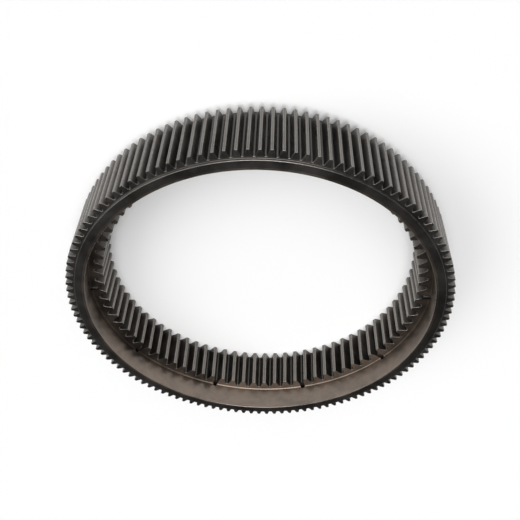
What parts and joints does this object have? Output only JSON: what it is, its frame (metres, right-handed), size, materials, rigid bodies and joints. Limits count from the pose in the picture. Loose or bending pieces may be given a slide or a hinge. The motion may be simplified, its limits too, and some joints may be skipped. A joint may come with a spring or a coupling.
{
  "type": "internal ring gear",
  "caption": "Steel ring gear with spur teeth inside and outside, a stepped rim at both ends and a recessed mouth with small radial oil holes, for a planetary drive.",
  "frame": {"origin": "on the ring's axis, in the plane of the back face that it lies on", "axes": "+Z along the ring's axis, from the back face to the open mouth; +X through the middle of an outer tooth, an inner tooth gap and an oil hole"},
  "size_m": [0.512, 0.512, 0.097],
  "materials": {
    "gear_steel": "satin"
  },
  "bodies": {
    "root": {"ring_gear": "gear_steel"}
  },
  "joints": []
}
